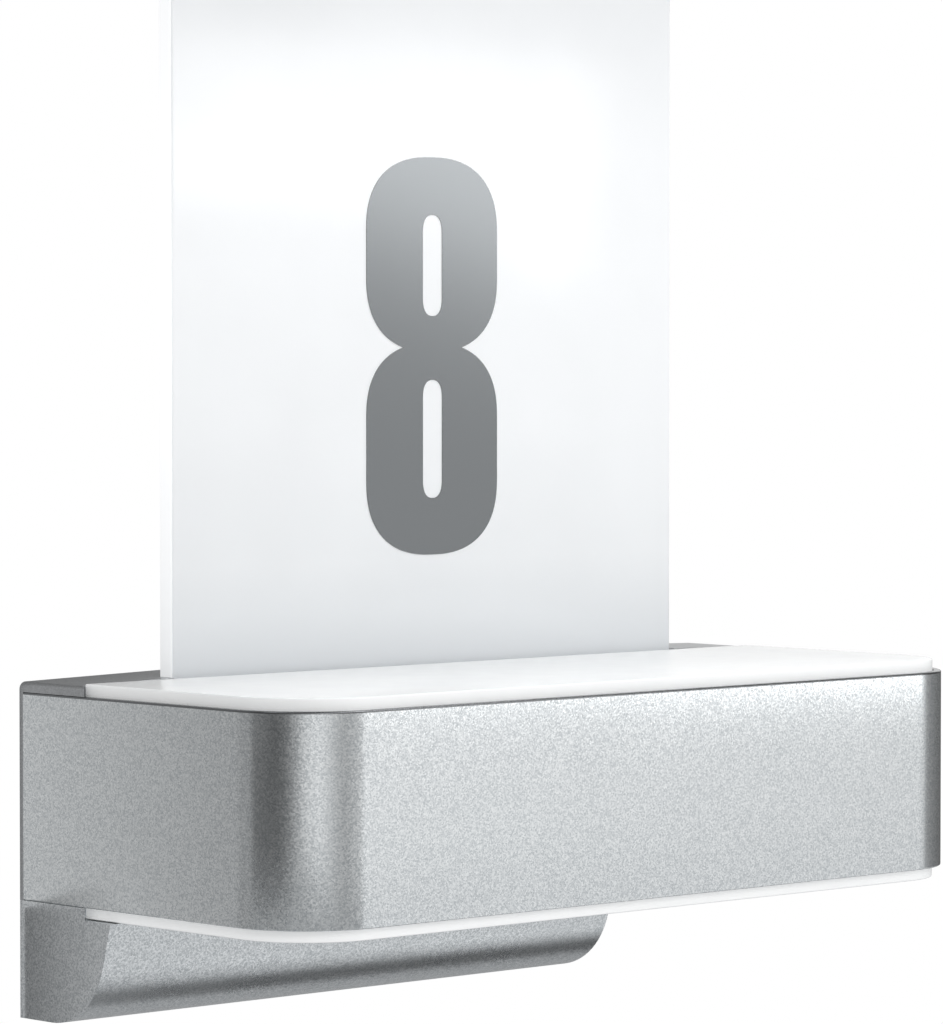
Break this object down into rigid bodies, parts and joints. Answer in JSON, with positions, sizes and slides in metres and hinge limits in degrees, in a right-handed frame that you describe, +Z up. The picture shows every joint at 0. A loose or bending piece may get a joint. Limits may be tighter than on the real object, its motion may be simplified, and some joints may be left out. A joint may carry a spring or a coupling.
{
  "type": "outdoor wall light with house number",
  "caption": "Wall-mounted outdoor light: a rounded silver band between opal plates, a standing white house-number panel and a sensor chin below.",
  "frame": {"origin": "on the wall plane behind the lamp, at the middle of the bracket's screw pattern, level with the middle of the aluminium band", "axes": "+X to the right seen from the front, +Y into the wall, +Z up; the lamp's front faces -Y"},
  "size_m": [0.23, 0.102, 0.2813],
  "materials": {
    "silver_aluminium": "fine metallic silver coating",
    "silver_plastic": "metallic silver paint over moulded plastic",
    "opal_acrylic": "opal white acrylic, satin",
    "panel_acrylic": "white acrylic, gloss",
    "number_film": "grey metallic film",
    "rubber": "matt black",
    "sealing_foam": "closed-cell foam, matt",
    "adhesive_tape": "white foam tape",
    "frame_plastic": "moulded white plastic",
    "white_sheet": "white stoved paint",
    "rail_aluminium": "plain extruded aluminium",
    "zinc_steel": "zinc plated",
    "stainless_steel": "stainless, plain",
    "white_board": "white solder mask",
    "green_board": "green solder mask",
    "led_phosphor": "yellow phosphor",
    "driver_case": "moulded white plastic",
    "thermal_pad": "grey silicone",
    "terminal_plastic": "cream plastic",
    "trimmer_plastic": "dark blue plastic",
    "dial_plastic": "light grey plastic"
  },
  "bodies": {
    "bracket": {"wall_bracket": "stainless_steel", "cable_grommet": "rubber"},
    "lamp": {"rear_housing": "silver_plastic", "wall_seal": "sealing_foam", "sensor_housing": "silver_plastic", "chin_screws": "zinc_steel", "locking_screws": "zinc_steel", "band": "silver_aluminium", "band_tape": "adhesive_tape", "inner_frame": "frame_plastic", "frame_screws": "zinc_steel", "upper_diffuser": "opal_acrylic", "lower_diffuser": "opal_acrylic", "upper_seal": "sealing_foam", "lower_seal": "sealing_foam", "upper_reflector": "white_sheet", "lower_reflector": "white_sheet", "upper_reflector_screws": "zinc_steel", "lower_reflector_screws": "zinc_steel", "upper_led_board": "white_board", "lower_led_board": "white_board", "upper_leds": "led_phosphor", "lower_leds": "led_phosphor", "upper_board_screws": "zinc_steel", "lower_board_screws": "zinc_steel", "driver_pad": "thermal_pad", "led_driver": "driver_case", "terminal_block": "terminal_plastic", "terminal_screws": "zinc_steel", "panel_rail": "rail_aluminium", "rail_screws": "zinc_steel", "panel_grub_screws": "stainless_steel", "sensor_board": "green_board", "sensor_board_screws": "zinc_steel", "radar_module": "green_board", "trimmer_bodies": "trimmer_plastic"},
    "panel": {"number_panel": "panel_acrylic", "number_foil": "number_film"},
    "reach_dial": {"reach_dial": "dial_plastic"},
    "twilight_dial": {"twilight_dial": "dial_plastic"},
    "time_dial": {"time_dial": "dial_plastic"}
  },
  "joints": [
    {"name": "lamp_release", "type": "slide", "parent": "bracket", "child": "lamp", "axis": [0, -1, 0], "range_m": [0, 0.06]},
    {"name": "panel_lift", "type": "slide", "parent": "lamp", "child": "panel", "axis": [0, 0, 1], "range_m": [0, 0.03]},
    {"name": "reach_dial_turn", "type": "hinge", "parent": "lamp", "child": "reach_dial", "pos_m": [-0.05, -0.0085, -0.0528], "axis": [0, 0, 1], "range_deg": [-135, 135]},
    {"name": "twilight_dial_turn", "type": "hinge", "parent": "lamp", "child": "twilight_dial", "pos_m": [-0.03, -0.0085, -0.0528], "axis": [0, 0, 1], "range_deg": [-135, 135]},
    {"name": "time_dial_turn", "type": "hinge", "parent": "lamp", "child": "time_dial", "pos_m": [-0.01, -0.0085, -0.0528], "axis": [0, 0, 1], "range_deg": [-135, 135]}
  ]
}
